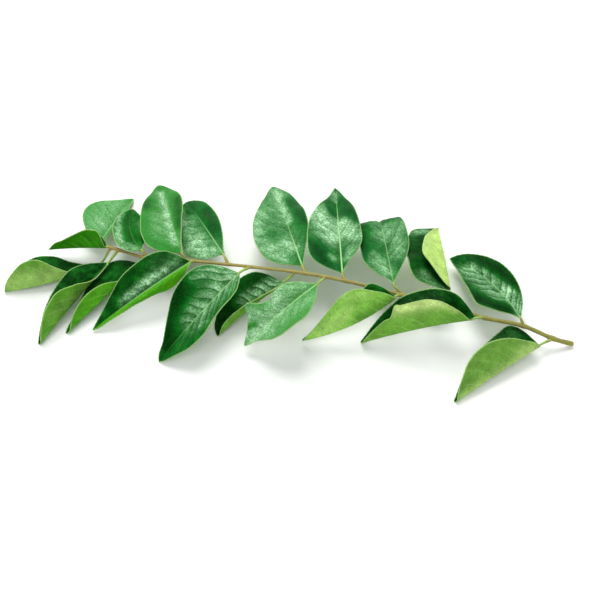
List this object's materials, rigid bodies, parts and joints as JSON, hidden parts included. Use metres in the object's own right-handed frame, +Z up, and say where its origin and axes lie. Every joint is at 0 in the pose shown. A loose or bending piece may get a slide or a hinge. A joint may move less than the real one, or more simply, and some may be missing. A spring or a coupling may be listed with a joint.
{
  "type": "curry leaf sprig",
  "caption": "Fresh cut curry leaf sprig lying down: leaflets on short stalks along both sides of a slender arched rachis, some folded shut along the midrib.",
  "frame": {"origin": "centre of the sprig's box, on the surface that it lies on", "axes": "+X along the rachis towards its cut end, +Y towards the row of leaflets away from the viewer, +Z up"},
  "size_m": [0.1664, 0.0738, 0.0176],
  "materials": {
    "rachis": "green, slightly hairy young stem; matte, tan at the cut",
    "leaf": "fresh leaf: dark green with a soft waxy sheen above, pale yellow-green and matte below"
  },
  "bodies": {
    "root": {"rachis": "rachis", "leaflet_far_1": "leaf", "leaflet_far_2": "leaf", "leaflet_far_3": "leaf", "leaflet_far_4": "leaf", "leaflet_far_5": "leaf", "leaflet_far_6": "leaf", "leaflet_far_7": "leaf", "leaflet_far_8": "leaf", "leaflet_far_9": "leaf", "leaflet_near_1": "leaf", "leaflet_near_2": "leaf", "leaflet_near_3": "leaf", "leaflet_near_4": "leaf", "leaflet_near_5": "leaf", "leaflet_near_6": "leaf", "leaflet_near_7": "leaf", "leaflet_near_8": "leaf", "leaflet_near_9": "leaf", "leaflet_near_10": "leaf", "leaflet_terminal": "leaf"}
  },
  "joints": []
}
